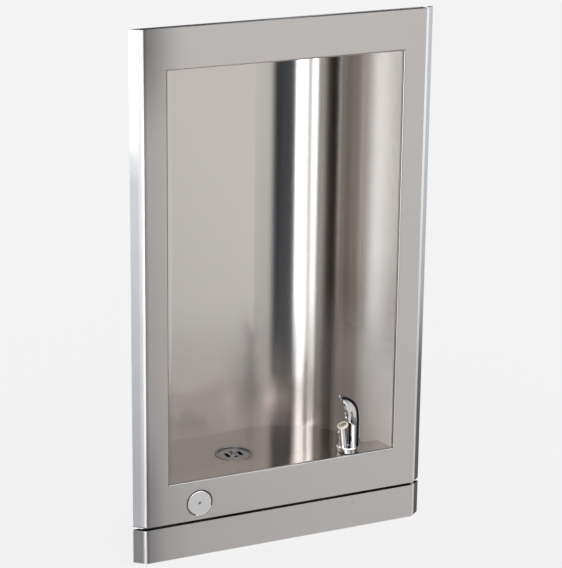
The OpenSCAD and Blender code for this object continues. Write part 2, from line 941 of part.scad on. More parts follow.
module at_bubbler(z) {
  translate([bubbler_x, bubbler_y, z])
    children();
}

// The hood is a horn. Its foot grows out of the round column, then its back follows an arc
// over the nozzle, and its section is a channel whose two lips face the nozzle.
function smooth(v) = v * v * (3 - 2 * v);
function round_share(j) = let (t = 360 * j / hood_sides) [(1 - cos(t)) / 2, sin(t)];
function side_share(j) = let (
  t = 360 * j / hood_sides,
  v = (t - 90) / (360 * hood_lip_side / hood_sides - 90))
  t <= 90
    ? [hood_back_share * (1 - cos(t)), sin(t)]
    : [hood_back_share + (1 - hood_back_share) * v, 1 - (1 - hood_lip_share) * v * v];
function groove_share(j) = let (v = 180 * (j - hood_lip_side) / (hood_sides - 2 * hood_lip_side))
  [1 - hood_groove_share * sin(v), hood_lip_share * cos(v)];
function flip_y(p) = [p.x, -p.y];
function channel_share(j) =
  j <= hood_lip_side ? side_share(j)
    : j >= hood_sides - hood_lip_side ? flip_y(side_share(hood_sides - j))
    : groove_share(j);
function horn_thick(u) = hood_lip * (1 - (1 - tip_thick_share) * pow(u, 2.6));
function horn_wide(u) = 2 * column_r * (1 - (1 - tip_width_share) * pow(u, 1.8));
function horn_point(u, j) = let (
  a = hood_sweep * u,
  p = channel_share(j),
  back = [column_x + column_r - hood_r * (1 - cos(a)), hood_base_z + hood_r * sin(a)],
  q = back - p.x * horn_thick(u) * [cos(a), sin(a)])
  [q.x, -p.y * horn_wide(u) / 2, q.y];
function foot_point(v, j) = let (
  b = smooth(v),
  r = round_share(j),
  c = channel_share(j),
  in = 2 * column_r * r.x * (1 - b) + hood_lip * c.x * b)
  [column_x + column_r - in, -column_r * (r.y * (1 - b) + c.y * b), hood_foot_z + hood_foot_h * v];

// One skin from the column's base inside the collar up to the hood's tip
module hood() {
  base_z = collar_z + collar_h / 2;
  base = [for (j = [0:hood_sides - 1]) let (p = foot_point(0, j)) [p.x, p.y, base_z]];
  foot = [for (i = [0:foot_rings - 1], j = [0:hood_sides - 1]) foot_point(i / foot_rings, j)];
  horn = [for (i = [0:hood_rings], j = [0:hood_sides - 1]) horn_point(i / hood_rings, j)];
  polyhedron(concat(base, foot, horn), skin_faces(hood_rings + foot_rings + 1, hood_sides),
             convexity = 6);
}

// A narrower foot below a rounded rim
collar_foot_r = collar_r - collar_step;
collar_profile = concat(
  [[0, 0], [collar_foot_r, 0], [collar_foot_r, collar_h - collar_rim_t]],
  arc([collar_r - collar_edge_r, collar_h - collar_rim_t + collar_edge_r],
      collar_edge_r, 270, 360, bend_steps),
  arc([collar_r - collar_edge_r, collar_h - collar_edge_r],
      collar_edge_r, 0, 90, bend_steps),
  [[0, collar_h]]);

// The nozzle's column leans from its foot on the collar to its neck below the head
neck_rise = head_z - collar_top_z;
nozzle_slope = atan2(foot_x - neck_x, neck_rise);
neck_l = neck_rise / cos(nozzle_slope);

module on_nozzle_axis() {
  translate([neck_x, 0, head_z])
    rotate([0, -nozzle_slope, 0])
      children();
}

module on_head() {
  translate([head_x, 0, head_z])
    rotate([0, -nozzle_lean, 0])
      children();
}

module bubbler_body() {
  grip_z = collar_z + shank_grip + shank_gallery;
  color("white")
    at_bubbler(0)
      difference() {
        union() {
          translate([0, 0, collar_z])
            rotate_extrude() polygon(collar_profile);
          hood();
          difference() {
            on_nozzle_axis()
              translate([0, 0, -neck_l - collar_h / 2])
                cylinder(h = neck_l + collar_h, r1 = nozzle_foot_r, r2 = nozzle_neck_r);
            on_head() cylinder(h = collar_h, r = 2 * head_r);
          }
        }
        translate([0, 0, collar_z - over])
          cylinder(h = grip_z - collar_z + over, r = shank_r + fit);
        on_nozzle_axis()
          translate([0, 0, -(head_z - grip_z) / cos(nozzle_slope) - over])
            cylinder(h = head_z - grip_z + collar_h, r = water_r);
        translate([neck_x, 0, nozzle_screw_z])
          rotate([0, -90, 0]) cylinder(h = 2 * nozzle_foot_r, r = nozzle_screw_r + fit);
      }
}

// Dished head that leans towards the basin, on a spigot, with the jet's hole in its dish
module bubbler_nozzle() {
  color("linen")
    at_bubbler(0)
      difference() {
        union() {
          difference() {
            on_nozzle_axis()
              translate([0, 0, -spigot_in])
                cylinder(h = spigot_in + head_t, r = water_r - fit);
            on_head() translate([0, 0, head_t / 4]) cylinder(h = collar_h, r = 2 * head_r);
          }
          on_head()
            rotate_extrude()
              polygon(concat(
                [[0, 0]],
                arc([head_r - head_edge_r, head_edge_r], head_edge_r, 270, 360, bend_steps),
                arc([head_r - head_rim / 2, head_t - head_rim / 2], head_rim / 2, 0, 180, bend_steps),
                [[jet_r, head_t - head_dish_d], [0, head_t - head_dish_d]]));
        }
        on_head()
          translate([jet_x, 0, head_t / 4])
            cylinder(h = head_t, r = jet_r);
        on_head()
          translate([-jet_x, 0, head_t / 4 + spigot_bore_r / 2])
            rotate([0, 90, 0]) cylinder(h = 2 * jet_x, r = spigot_bore_r / 2);
        on_nozzle_axis()
          translate([0, 0, -spigot_in - over])
            cylinder(h = spigot_in + over + head_t / 4, r = spigot_bore_r);
      }
}

// Small screw in the column's side, which holds the nozzle's spigot
nozzle_screw_z = head_z - nozzle_screw_drop;
screw_axis_x = neck_x + nozzle_screw_drop * tan(nozzle_slope);
module nozzle_screw() {
  color("silver")
    at_bubbler(nozzle_screw_z)
      translate([screw_axis_x - nozzle_screw_in, 0, 0])
        rotate([0, -90, 0])
          cylinder(h = nozzle_neck_r - nozzle_screw_in + nozzle_screw_out, r = nozzle_screw_r);
}

module ring(r_out, r_in, h) {
  difference() {
    cylinder(h = h, r = r_out);
    translate([0, 0, -over])
      cylinder(h = h + 2 * over, r = r_in);
  }
}

module bubbler_gasket() {
  color("dimgray")
    at_bubbler(sill_z) ring(collar_foot_r - gasket_t, shank_r + slack, gasket_t);
}

module bubbler_shank() {
  color("darkgoldenrod")
    at_bubbler(shank_end_z)
      difference() {
        cylinder(h = collar_z + shank_grip - shank_end_z, r = shank_r);
        translate([0, 0, -over])
          cylinder(h = collar_z + shank_grip - shank_end_z + 2 * over, r = shank_bore_r);
        translate([0, 0, -over])
          cylinder(h = tube_seat + over, r = tube_r + fit);
      }
}

module bubbler_washer() {
  color("silver")
    at_bubbler(sill_z - sheet_t - under_washer_t)
      ring(under_washer_r, shank_r + slack, under_washer_t);
}

module bubbler_locknut() {
  color("goldenrod")
    at_bubbler(sill_z - sheet_t - under_washer_t - under_nut_t)
      difference() {
        hex(under_nut_af, under_nut_t);
        translate([0, 0, -over])
          cylinder(h = under_nut_t + 2 * over, r = shank_r + fit);
      }
}

module at_drain(z) {
  translate([drain_x, drain_y, z])
    children();
}

// Cast body: a flange on the floor, a seat for the strainer, a barrel and a cross inside
module drain_body() {
  top = drain_flange_t;
  seat = top - strainer_sink - strainer_t;
  bore_r = drain_barrel_r - drain_wall;
  mouth_r = strainer_r + strainer_gap;
  cross_top = seat - cross_gap;
  color("silver")
    at_drain(floor_z) {
      rotate_extrude()
        polygon(concat(
          [[bore_r, -drain_barrel_l], [drain_barrel_r, -drain_barrel_l]],
          [[drain_barrel_r, 0], [drain_flange_r, 0]],
          arc([drain_flange_r - drain_lip_r, top - drain_lip_r], drain_lip_r, 0, 90, bend_steps),
          arc([mouth_r + drain_lip_r, top - drain_lip_r], drain_lip_r, 90, 180, bend_steps),
          [[mouth_r, seat], [bore_r, seat]]));
      difference() {
        translate([-bore_r - cross_in, -cross_w / 2, cross_top - cross_h])
          cube([2 * (bore_r + cross_in), cross_w, cross_h]);
        translate([0, 0, cross_top - cross_h - over])
          cylinder(h = cross_h + 2 * over, r = drain_screw_r + fit);
      }
    }
}

module slot(l) {
  for (end = [-1, 1])
    translate([0, end * (l - slot_w) / 2, -over])
      cylinder(h = strainer_t + 2 * over, r = slot_w / 2);
  translate([-slot_w / 2, -(l - slot_w) / 2, -over])
    cube([slot_w, l - slot_w, strainer_t + 2 * over]);
}

// Sunk plate with a pressed cup for its screw
module drain_strainer() {
  seat = drain_flange_t - strainer_sink - strainer_t;
  near_y = cup_r + strainer_t + slack + short_slot_l / 2;
  color("silver")
    at_drain(floor_z + seat)
      difference() {
        union() {
          cylinder(h = strainer_t, r = strainer_r);
          translate([0, 0, -cup_d])
            cylinder(h = cup_d + strainer_t / 2, r = cup_r + strainer_t);
        }
        translate([0, 0, strainer_t - cup_d])
          cylinder(h = cup_d + over, r = cup_r);
        for (side = [-1, 1]) {
          translate([side * slot_pitch, 0, 0]) slot(slot_l);
          translate([0, side * near_y, 0]) slot(short_slot_l);
        }
        translate([0, 0, -cup_d - over])
          cylinder(h = cup_d + 2 * over, r = drain_screw_r + fit);
      }
}

module strainer_screw() {
  head_z = drain_flange_t - strainer_sink - cup_d;
  color("gainsboro")
    at_drain(floor_z + head_z)
      difference() {
        union() {
          rotate_extrude()
            polygon(concat([[0, 0], [drain_screw_head_r, 0]],
              arc([drain_screw_head_r - drain_screw_head_h / 2, drain_screw_head_h / 2],
                  drain_screw_head_h / 2, 0, 90, bend_steps),
              [[0, drain_screw_head_h]]));
          translate([0, 0, -drain_screw_l])
            cylinder(h = drain_screw_l + drain_screw_head_h / 2, r = drain_screw_r);
        }
        translate([-drain_screw_head_r, -drain_screw_r / 4, drain_screw_head_h / 2])
          cube([2 * drain_screw_head_r, drain_screw_r / 2, drain_screw_head_h]);
      }
}

module drain_gasket() {
  color("dimgray")
    at_drain(basin_under_z - drain_gasket_t)
      ring(drain_gasket_r, drain_barrel_r + slack, drain_gasket_t);
}

module drain_slip_ring() {
  color("silver")
    at_drain(basin_under_z - drain_gasket_t - drain_slip_t)
      ring(drain_gasket_r - drain_slip_t, drain_barrel_r + slack, drain_slip_t);
}

// Ring nut with lugs for a spanner
module lug_nut(r, h) {
  cylinder(h = h, r = r);
  for (i = [0:lug_count - 1])
    rotate([0, 0, i * 360 / lug_count])
      translate([r - lug_out, -lug_w / 2, 0])
        cube([2 * lug_out, lug_w, h]);
}

module drain_locknut() {
  color("goldenrod")
    at_drain(basin_under_z - drain_gasket_t - drain_slip_t - drain_nut_h)
      difference() {
        lug_nut(drain_nut_r, drain_nut_h);
        translate([0, 0, -over])
          cylinder(h = drain_nut_h + 2 * over, r = drain_barrel_r + fit);
      }
}

module tail_washer() {
  color("dimgray")
    at_drain(drain_end_z - tail_washer_t)
      ring(tail_flange_r, tail_r - tail_wall, tail_washer_t);
}

module tailpiece() {
  color("silver")
    at_drain(tail_end_z)
      difference() {
        union() {
          cylinder(h = tail_flange_z - tail_end_z + tail_flange_t, r = tail_r);
          translate([0, 0, tail_flange_z - slip_nut_floor - slack - tail_end_z])
            cylinder(h = slip_nut_floor + slack + tail_flange_t, r = tail_r + tail_neck);
          translate([0, 0, tail_flange_z - tail_end_z])
            cylinder(h = tail_flange_t, r = tail_flange_r);
        }
        translate([0, 0, -over])
          cylinder(h = drain_end_z, r = tail_r - tail_wall);
      }
}

module slip_nut() {
  color("silver")
    at_drain(tail_flange_z - slip_nut_floor)
      difference() {
        lug_nut(slip_nut_r, slip_nut_h);
        translate([0, 0, slip_nut_floor])
          cylinder(h = slip_nut_h, r = drain_barrel_r + fit);
        translate([0, 0, -over])
          cylinder(h = slip_nut_floor + 2 * over, r = tail_r + tail_neck + slack);
      }
}

front_frame();
lower_panel();
panel_clips();
panel_screws();
alcove_wall();
alcove_ceiling();
basin();
left_bracket();
right_bracket();
push_button();
button_screw();
button_spring();
valve_stem();
valve_seal();
seal_nut();
valve_bracket();
valve_body();
valve_locknut();
valve_cap();
inlet_tube();
outlet_tube();
tube_nuts();
stop_body();
stop_adapter();
stop_stem();
stop_packing_nut();
bubbler_body();
bubbler_nozzle();
nozzle_screw();
bubbler_gasket();
bubbler_shank();
bubbler_washer();
bubbler_locknut();
drain_body();
drain_strainer();
strainer_screw();
drain_gasket();
drain_slip_ring();
drain_locknut();
tail_washer();
tailpiece();
slip_nut();
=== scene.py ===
import math

import bmesh
import bpy
from mathutils import Matrix, Vector


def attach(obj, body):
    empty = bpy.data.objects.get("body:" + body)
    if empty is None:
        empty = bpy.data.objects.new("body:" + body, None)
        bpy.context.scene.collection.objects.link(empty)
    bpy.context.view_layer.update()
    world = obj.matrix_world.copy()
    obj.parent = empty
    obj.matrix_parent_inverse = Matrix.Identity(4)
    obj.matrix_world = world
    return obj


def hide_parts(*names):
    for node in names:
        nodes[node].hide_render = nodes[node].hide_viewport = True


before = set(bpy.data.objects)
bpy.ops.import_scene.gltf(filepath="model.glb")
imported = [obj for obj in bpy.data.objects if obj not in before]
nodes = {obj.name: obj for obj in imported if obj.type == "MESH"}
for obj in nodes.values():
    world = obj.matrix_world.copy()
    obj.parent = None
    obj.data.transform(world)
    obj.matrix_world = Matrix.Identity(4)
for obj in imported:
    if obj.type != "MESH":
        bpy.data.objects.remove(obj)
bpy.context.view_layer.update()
scene = bpy.context.scene
print("frame loaded:", len(nodes), "CAD nodes")


# shader maths: a Wire is a node socket that takes part in plain Python sums

class Wire:
    def __init__(self, graph, socket):
        self.graph = graph
        self.socket = socket

    def __add__(self, other):
        return self.graph.math("ADD", self, other)

    def __radd__(self, other):
        return self.graph.math("ADD", self, other)

    def __sub__(self, other):
        return self.graph.math("SUBTRACT", self, other)

    def __rsub__(self, other):
        return self.graph.math("SUBTRACT", other, self)

    def __mul__(self, other):
        return self.graph.math("MULTIPLY", self, other)

    def __rmul__(self, other):
        return self.graph.math("MULTIPLY", other, self)

    def __truediv__(self, other):
        return self.graph.math("DIVIDE", self, other)

    def __rtruediv__(self, other):
        return self.graph.math("DIVIDE", other, self)

    def __pow__(self, other):
        return self.graph.math("POWER", self, other)

    def __rpow__(self, other):
        return self.graph.math("POWER", other, self)

    def __abs__(self):
        return self.graph.math("ABSOLUTE", self)


class Graph:
    def __init__(self, tree):
        self.tree = tree
        self.tree.nodes.clear()

    def node(self, kind, settings=None, values=None, out=0):
        made = self.tree.nodes.new(kind)
        for key, value in (settings or {}).items():
            if key == "stops":  # a ramp's stops, each a place from 0 to 1 and a colour
                elements = made.color_ramp.elements
                while len(elements) > 1:
                    elements.remove(elements[-1])
                elements[0].position, elements[0].color = value[0]
                for place, colour in value[1:]:
                    elements.new(place).color = colour
            else:
                setattr(made, key, value)
        for key, value in (values or {}).items():
            if isinstance(value, Wire):
                self.tree.links.new(value.socket, made.inputs[key])
            else:
                made.inputs[key].default_value = value
        return Wire(self, made.outputs[out]) if len(made.outputs) else None

    def math(self, operation, *terms):
        return self.node("ShaderNodeMath", {"operation": operation}, dict(enumerate(terms)))

    def step(self, value, low, high):  # 0 below low, 1 above high, smooth between
        return self.node("ShaderNodeMapRange", {"interpolation_type": "SMOOTHSTEP"},
                         {0: value, 1: low, 2: high, 3: 0.0, 4: 1.0})

    def spread(self, value, low, high):  # 0 to 1 becomes low to high
        return self.node("ShaderNodeMapRange", {"clamp": True},
                         {0: value, 1: 0.0, 2: 1.0, 3: low, 4: high})

    def axes(self):  # the piece's own coordinates, in metres
        seen = self.node("ShaderNodeTexCoord", out=3)
        outs = self.node("ShaderNodeSeparateXYZ", None, {0: seen}).socket.node.outputs
        return {axis: Wire(self, outs[i]) for i, axis in enumerate("xyz")}

    def zone(self, axes, limits):
        # 1 inside, 0 outside; the limits give where each axis fades in and where it fades out
        inside = 1.0
        for axis, (rise, fall) in limits.items():
            if rise:
                inside = self.step(axes[axis], *rise) * inside
            if fall:
                inside = (1.0 - self.step(axes[axis], *fall)) * inside
        return inside

    def noise(self, scale, detail, rough):
        seen = self.node("ShaderNodeTexCoord", out=3)
        where = self.node("ShaderNodeMapping", {"vector_type": "POINT"}, {0: seen, 3: scale})
        return self.node("ShaderNodeTexNoise", {"noise_dimensions": "3D"},
                         {"Vector": where, "Scale": 1.0, "Detail": detail, "Roughness": rough,
                          "Distortion": 0.0})

    def ramp(self, where, stops):
        return self.node("ShaderNodeValToRGB", {"stops": stops}, {0: where})

    def mixColour(self, factor, first, second, blend="MIX"):
        return self.node("ShaderNodeMix",
                         {"data_type": "RGBA", "blend_type": blend, "clamp_factor": True},
                         {0: factor, 6: first, 7: second}, out=2)

    def scaled(self, tint, shade):
        return self.node("ShaderNodeVectorMath", {"operation": "SCALE"}, {0: tint, "Scale": shade})

    def bump(self, height, distance, strength, under=None):
        values = {"Strength": strength, "Distance": distance, "Height": height}
        if under is not None:
            values["Normal"] = under
        return self.node("ShaderNodeBump", None, values)


# noise settings: detail and roughness
coarseNoise = (3.0, 0.6)
softNoise = (2.0, 0.5)
softBump = 0.4  # strength of a smooth finish's relief
brushedAcross = 0.25  # turn of the grain that stretches a highlight


def around(base, *parts):  # a base value that noises from 0 to 1 swing to both sides
    for noise, swing in parts:
        base = base + (noise - 0.5) * swing
    return base


def sideways(x, y, degrees):  # distance to the right, as seen by a viewer turned by that angle
    turn = math.radians(degrees)
    return x * math.cos(turn) - y * math.sin(turn)


def newMaterial(name):
    made = bpy.data.materials.new(name)
    made.use_nodes = True
    return made, Graph(made.node_tree)


def finishMaterial(graph, sockets):
    surface = graph.node("ShaderNodeBsdfPrincipled", None, sockets)
    graph.node("ShaderNodeOutputMaterial", None, {"Surface": surface})


def grey(value):
    return (value, value, value, 1)


def rgb(red, green, blue):  # picture values 0 to 255 into linear colour
    def one(v):
        v = v / 255
        return v / 12.92 if v <= 0.04045 else ((v + 0.055) / 1.055) ** 2.4
    return (one(red), one(green), one(blue), 1.0)


def warmGrey(shade, warmth):
    return rgb(*(min(255, 255 * shade * side) for side in (1 + warmth, 1, 1 - warmth)))


# camera, at the photograph's viewing angle

camera = {
    "eye": (-1.2028, -2.5642, 1.2739),
    "yaw": 25.10,
    "pitch": 17.76,
    "roll": 0.68,
    "lens": 141.17,
    "sensor": 36.0,
    "clip": (0.05, 60),
}


def aimCamera(spec):
    yaw, pitch, roll = (math.radians(spec[k]) for k in ("yaw", "pitch", "roll"))
    flat = math.cos(pitch)
    ahead = Vector((math.sin(yaw) * flat, math.cos(yaw) * flat, -math.sin(pitch)))
    right = Vector((math.cos(yaw), -math.sin(yaw), 0))
    up = right.cross(ahead)
    across = math.cos(roll) * right + math.sin(roll) * up
    upward = -math.sin(roll) * right + math.cos(roll) * up
    data = bpy.data.cameras.new("viewCamera")
    data.lens = spec["lens"]
    data.sensor_width = spec["sensor"]
    data.clip_start, data.clip_end = spec["clip"]
    made = bpy.data.objects.new("viewCamera", data)
    scene.collection.objects.link(made)
    turned = Matrix((across, upward, -ahead)).transposed().to_4x4()
    made.matrix_world = Matrix.Translation(spec["eye"]) @ turned
    scene.camera = made


aimCamera(camera)
print("camera placed")


# surroundings: pale to the camera, even for matt surfaces, and broad soft cards that only
# polished metal mirrors

lowEdge = (-0.35, -0.29)  # rise of a mirrored ray (-1 to 1) where low cards pass into high ones
underDark = (-20, -16)  # azimuth where cards end unseen, under the dark one

studio = {
    "backdrop": (243, 243, 243),
    "fill": 1.0,
    "strength": 1.12,
    # what polished metal mirrors: a plain room, then soft cards that stand round the part, each
    # over the ones before it; a card has its grey and its warmth, the azimuths where it fades in
    # and out, in degrees to the right of the front, and for some the rises where it does so
    "room": (0.58, 0.03),
    "cards": [
        # the room's left side
        (0.36, 0.05, {"azimuth": ((-175, -85), (-55, -50))}),
        # the pale room in front, darker low down, and its dimmer right end
        (0.75, 0.02, {"azimuth": ((-25, -15), None)}),
        (0.50, 0.02, {"azimuth": ((-25, -15), (20, 27)), "rise": (None, lowEdge)}),
        (0.55, 0.04, {"azimuth": ((28, 52), None)}),
        # a slim white card, a slot and a broad white card, which stands further left low down
        (1.00, 0.01, {"azimuth": ((-62, -57), underDark), "rise": ((-0.34, -0.24), None)}),
        (0.52, 0.01, {"azimuth": ((-52, -49), underDark), "rise": (lowEdge, None)}),
        (1.00, 0.00, {"azimuth": ((-48, -43), underDark), "rise": (lowEdge, None)}),
        (1.00, 0.00, {"azimuth": ((-54, -48), underDark), "rise": (None, lowEdge)}),
        # a dark cool card, broader low down, with a darker strip near its right edge
        (0.22, -0.06, {"azimuth": ((-31, -28), (-5, 5))}),
        (0.22, -0.03, {"azimuth": ((-45, -32), underDark), "rise": (None, lowEdge)}),
        (0.14, -0.08, {"azimuth": ((-13, -9), (-6, -3))}),
        # a dark card at the right, then the room's right side and a pale card behind it
        (0.16, 0.05, {"azimuth": ((52, 57), None)}),
        (0.36, 0.07, {"azimuth": ((67, 72), None)}),
        (0.78, -0.01, {"azimuth": ((85, 91), None), "rise": (lowEdge, None)}),
        (0.58, 0.03, {"azimuth": ((120, 180), None)}),
    ],
    # brightness by height, from straight down (0) to straight up (1)
    "levels": [(0.00, 0.60), (0.26, 0.70), (0.34, 1.0), (0.48, 1.0), (0.56, 0.96), (0.82, 1.0)],
    # the wall that the part is set in, dark from the horizon up
    "wall": {"y": ((0.30, 0.55), None), "z": ((0.0, 0.08), None)},
    "wallShade": (0.012, 0.012, 0.014, 1),
    "overheadFrom": (0.60, 0.85),
    "overhead": 1.3,
    # white cards shine stronger than paper white
    "whiteFrom": (0.82, 0.97),
    "whiteGain": 1.6,
}


def makeWorld(spec):
    world = bpy.data.worlds.new("softStudio")
    world.use_nodes = True
    graph = Graph(world.node_tree)
    toward = graph.node("ShaderNodeTexCoord", out=0)
    outs = graph.node("ShaderNodeSeparateXYZ", None, {0: toward}).socket.node.outputs
    dx, dy, dz = (Wire(graph, s) for s in outs)
    toCard = {"azimuth": graph.math("ARCTAN2", dx, 0.0 - dy) * (180 / math.pi), "rise": dz}
    seen = warmGrey(*spec["room"])
    for shade, warmth, limits in spec["cards"]:
        seen = graph.mixColour(graph.zone(toCard, limits), seen, warmGrey(shade, warmth))
    level = graph.ramp(dz * 0.5 + 0.5, [(height, grey(value)) for height, value in spec["levels"]])
    seen = graph.mixColour(1.0, seen, level, "MULTIPLY")
    seen = graph.mixColour(graph.zone({"y": dy, "z": dz}, spec["wall"]), seen, spec["wallShade"])
    seen = graph.mixColour(graph.step(dz, *spec["overheadFrom"]), seen, grey(spec["overhead"]))
    green = graph.node("ShaderNodeSeparateColor", None, {0: seen}, out=1)
    gain = 1.0 + graph.step(green, *spec["whiteFrom"]) * spec["whiteGain"]

    def background(colour, strength):
        return graph.node("ShaderNodeBackground", None, {"Color": colour, "Strength": strength})

    mirrored = background(seen, gain * spec["strength"])
    plain = background(rgb(*spec["backdrop"]), 1.0)
    soft = background(grey(1), spec["fill"])
    outs = graph.node("ShaderNodeLightPath").socket.node.outputs
    asGlossy = Wire(graph, outs["Is Glossy Ray"])
    asCamera = Wire(graph, outs["Is Camera Ray"])
    mixed = graph.node("ShaderNodeMixShader", None, {0: asGlossy, 1: soft, 2: mirrored})
    mixed = graph.node("ShaderNodeMixShader", None, {0: asCamera, 1: mixed, 2: plain})
    graph.node("ShaderNodeOutputWorld", None, {"Surface": mixed})
    scene.world = world


paper = {"size": 14.0, "grain": 2.0, "light": 0.122, "dark": 0.118, "rough": 0.9,
         "glow": 0.9, "glowStrength": 0.864}


def makeFloor(spec):
    material, graph = newMaterial("palePaper")
    cloudy = graph.noise((spec["grain"],) * 3, *softNoise)
    skin = graph.mixColour(cloudy, grey(spec["light"]), grey(spec["dark"]))
    finishMaterial(graph, {"Base Color": skin,
                           "Roughness": spec["rough"], "Specular IOR Level": 0.0,
                           "Emission Color": grey(spec["glow"]),
                           "Emission Strength": spec["glowStrength"]})
    shape = bmesh.new()
    bmesh.ops.create_grid(shape, x_segments=1, y_segments=1, size=spec["size"])
    mesh = bpy.data.meshes.new("studioFloor")
    shape.to_mesh(mesh)
    shape.free()
    floor = bpy.data.objects.new("studioFloor", mesh)
    scene.collection.objects.link(floor)
    mesh.materials.append(material)
    floor.visible_glossy = False
    floor.visible_shadow = False


makeWorld(studio)
makeFloor(paper)
scene.view_settings.view_transform = "Standard"
print("studio ready")


# a big soft light that only the bubbler takes

softbox = {"azimuth": -52.0, "away": 1.5, "drop": 0.25, "wide": 3.4, "tall": 2.4, "power": 15.0,
           "aim": (0.110, -0.002, 0.150)}


def makeSoftbox(spec, taker):
    turn = math.radians(spec["azimuth"])
    aim = Vector(spec["aim"])
    place = aim + spec["away"] * Vector((math.sin(turn), -math.cos(turn), 0))
    place -= Vector((0, 0, spec["drop"]))
    data = bpy.data.lights.new("sideSoftbox", "AREA")
    data.shape = "RECTANGLE"
    data.size = spec["wide"]
    data.size_y = spec["tall"]
    data.energy = spec["power"]
    light = bpy.data.objects.new("sideSoftbox", data)
    scene.collection.objects.link(light)
    facing = (aim - place).to_track_quat("-Z", "Y").to_matrix().to_4x4()
    light.matrix_world = Matrix.Translation(place) @ facing
    light.visible_camera = False
    group = bpy.data.collections.new("softboxTakers")
    group.objects.link(taker)
    light.light_linking.receiver_collection = group


makeSoftbox(softbox, nodes["bubbler_body"])
print("softbox aimed")


# materials; every limit below is in metres along the piece's own axes

# the two front sheets: brushed across, with painted zones of reflection and shade that stand in
# for what the room mirrors
satin = {
    "tint": (0.868, 0.868, 0.884, 1),
    "streakGrain": (5.0, 60.0, 700.0), "fineGrain": (22.0, 300.0, 4200.0),
    "cloudGrain": (6.0, 6.0, 4.0), "waveGrain": (9.0, 9.0, 11.0),
    "streak": 0.06, "fine": 0.05, "cloud": 0.05,
    "rough": 0.30, "roughStreak": 0.06, "roughCloud": 0.08,
    "anisotropic": 0.55, "lay": (0.6, 0.4), "depth": 0.00002, "strength": 0.5,
    "wave": 0.0006, "waveNoise": (1.0, 0.4),
    # painted shade: the face is darkened towards its left edge and in the two left corners, for
    # the darker room these parts mirror
    "paintedShade": [
        ({"x": (None, (-0.215, -0.125))}, 0.20),
        ({"x": (None, (-0.210, -0.145)), "z": ((0.560, 0.712), None)}, 0.46),
        ({"x": (None, (-0.202, -0.170)), "z": (None, (0.090, 0.220))}, 0.26),
    ],
    "face": {"y": (None, (-0.0122, -0.0105))},
    "zones": [
        # left bend: a painted highlight, lighter than the sheet
        ({"x": (None, (-0.2015, -0.2003))}, (0.96, 0.98, 1.0, 1)),
        # left return, below its bright top: painted shade, a darker tint lower down
        ({"x": (None, (-0.2085, -0.2050)), "z": (None, (0.520, 0.600))}, (0.76, 0.79, 0.85, 1)),
        # left return of the lower panel: painted shade
        ({"x": (None, (-0.2058, -0.2036)), "z": (None, (0.044, 0.050))}, (0.44, 0.44, 0.46, 1)),
        # right return, low down: painted shade
        ({"x": ((0.2022, 0.2040), None), "z": (None, (0.200, 0.340))}, (0.34, 0.33, 0.33, 1)),
        # inside the reveal between the frame and the panel, where little light comes in
        ({"z": ((0.0468, 0.0478), (0.0522, 0.0532)), "y": ((-0.0121, -0.0113), None)},
         (0.03, 0.03, 0.032, 1)),
        # sill: painted shade that tones down its bright line
        ({"z": ((0.1045, 0.1065), (0.1088, 0.1095)), "y": ((-0.0124, -0.0120), None),
          "aside": (None, (0.1690, 0.1700))}, grey(0.27)),
        # right jamb: painted shade
        ({"x": ((0.1650, 0.1658), (0.1682, 0.1690)), "y": ((-0.0124, -0.0118), None),
          "z": ((0.112, 0.118), None)}, (0.50, 0.49, 0.48, 1)),
    ],
    # the top of the left return is smoother
    "smoothTop": {"x": (None, (-0.2085, -0.2050)), "z": ((0.520, 0.600), None)},
    "smoother": 0.14,
    # painted reflection: a narrow darker line where the left bend meets the face, for the dark
    # room it mirrors
    "line": {"x": ((-0.2004, -0.1996), (-0.1985, -0.1960))},
    "lineShade": 0.24,
    # a faint round mark on the panel
    "spot": (0.1068, 0.0378), "spotEdge": (0.0015, 0.0042), "spotShade": 0.09,
    # painted highlight: the rounded right bend is painted as a light, non-metal strip over its
    # whole height, lighter higher up
    "rightBend": {"x": ((0.1999, 0.2007), (0.2050, 0.2068))},
    "rightBendTint": (0.98, 0.99, 1.0), "rightBendRise": (0.150, 0.600),
    "rightBendLight": (0.58, 0.90),
}


